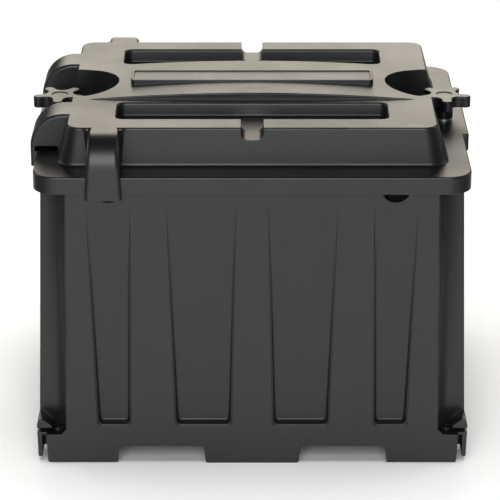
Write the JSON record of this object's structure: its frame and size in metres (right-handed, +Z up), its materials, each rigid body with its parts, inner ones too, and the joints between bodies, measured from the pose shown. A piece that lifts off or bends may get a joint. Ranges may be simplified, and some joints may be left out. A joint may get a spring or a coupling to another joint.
{
  "type": "boxed deep cycle battery pair",
  "caption": "Lidded moulded battery box with side-by-side deep cycle batteries inside, held shut by star knobs on rods.",
  "frame": {"origin": "on the ground, under the middle foot, at the centre of the box's footprint", "axes": "+Z up; +X to the right of a viewer facing the front; the front face looks along -Y"},
  "size_m": [0.4607, 0.387, 0.3668],
  "materials": {
    "tub_plastic": "moulded, satin spark texture",
    "lid_plastic": "moulded, satin spark texture",
    "knob_plastic": "moulded, satin",
    "brass": "turned",
    "steel": "zinc plated",
    "copper": "tinned edges, bare copper bar",
    "battery_case": "moulded polypropylene, satin",
    "battery_cover": "moulded polypropylene, satin",
    "vent_plastic": "moulded, satin",
    "lead": "cast lead, dull",
    "positive_plate": "pasted plate, matt brown",
    "separator": "porous sheet, matt"
  },
  "bodies": {
    "root": {"base_tub": "tub_plastic", "rod_anchors": "brass", "rod_washers": "steel", "rod_nuts": "steel", "series_link": "copper", "hold_down_rod_left": "steel", "battery_left_case": "battery_case", "battery_left_cover": "battery_cover", "battery_left_terminal_posts": "lead", "battery_left_terminal_washers": "steel", "battery_left_terminal_nuts": "steel", "battery_left_positive_plates": "positive_plate", "battery_left_negative_plates": "lead", "battery_left_separators": "separator", "battery_left_cell_straps": "lead", "hold_down_rod_right": "steel", "battery_right_case": "battery_case", "battery_right_cover": "battery_cover", "battery_right_terminal_posts": "lead", "battery_right_terminal_washers": "steel", "battery_right_terminal_nuts": "steel", "battery_right_positive_plates": "positive_plate", "battery_right_negative_plates": "lead", "battery_right_separators": "separator", "battery_right_cell_straps": "lead"},
    "lid": {"lid_shell": "lid_plastic", "knob_washer_left": "steel", "knob_washer_right": "steel"},
    "left_knob": {"knob_left": "knob_plastic", "knob_insert_left": "brass", "knob_cap_left": "knob_plastic"},
    "left_front_vent_cap": {"vent_cap_left_front": "vent_plastic"},
    "left_middle_vent_cap": {"vent_cap_left_middle": "vent_plastic"},
    "left_rear_vent_cap": {"vent_cap_left_rear": "vent_plastic"},
    "right_knob": {"knob_right": "knob_plastic", "knob_insert_right": "brass", "knob_cap_right": "knob_plastic"},
    "right_front_vent_cap": {"vent_cap_right_front": "vent_plastic"},
    "right_middle_vent_cap": {"vent_cap_right_middle": "vent_plastic"},
    "right_rear_vent_cap": {"vent_cap_right_rear": "vent_plastic"}
  },
  "joints": [
    {"name": "lid_lift", "type": "slide", "parent": "root", "child": "lid", "axis": [0, 0, 1], "range_m": [0, 0.15]},
    {"name": "left_knob_turn", "type": "hinge", "parent": "lid", "child": "left_knob", "pos_m": [-0.203, 0, 0.335], "axis": [0, 0, 1], "continuous": true},
    {"name": "left_front_vent_turn", "type": "hinge", "parent": "root", "child": "left_front_vent_cap", "pos_m": [-0.092, -0.0868, 0.28], "axis": [0, 0, 1], "range_deg": [0, 90]},
    {"name": "left_middle_vent_turn", "type": "hinge", "parent": "root", "child": "left_middle_vent_cap", "pos_m": [-0.092, 0, 0.28], "axis": [0, 0, 1], "range_deg": [0, 90]},
    {"name": "left_rear_vent_turn", "type": "hinge", "parent": "root", "child": "left_rear_vent_cap", "pos_m": [-0.092, 0.0868, 0.28], "axis": [0, 0, 1], "range_deg": [0, 90]},
    {"name": "right_knob_turn", "type": "hinge", "parent": "lid", "child": "right_knob", "pos_m": [0.203, 0, 0.335], "axis": [0, 0, 1], "continuous": true},
    {"name": "right_front_vent_turn", "type": "hinge", "parent": "root", "child": "right_front_vent_cap", "pos_m": [0.092, -0.0868, 0.28], "axis": [0, 0, 1], "range_deg": [0, 90]},
    {"name": "right_middle_vent_turn", "type": "hinge", "parent": "root", "child": "right_middle_vent_cap", "pos_m": [0.092, 0, 0.28], "axis": [0, 0, 1], "range_deg": [0, 90]},
    {"name": "right_rear_vent_turn", "type": "hinge", "parent": "root", "child": "right_rear_vent_cap", "pos_m": [0.092, 0.0868, 0.28], "axis": [0, 0, 1], "range_deg": [0, 90]}
  ]
}
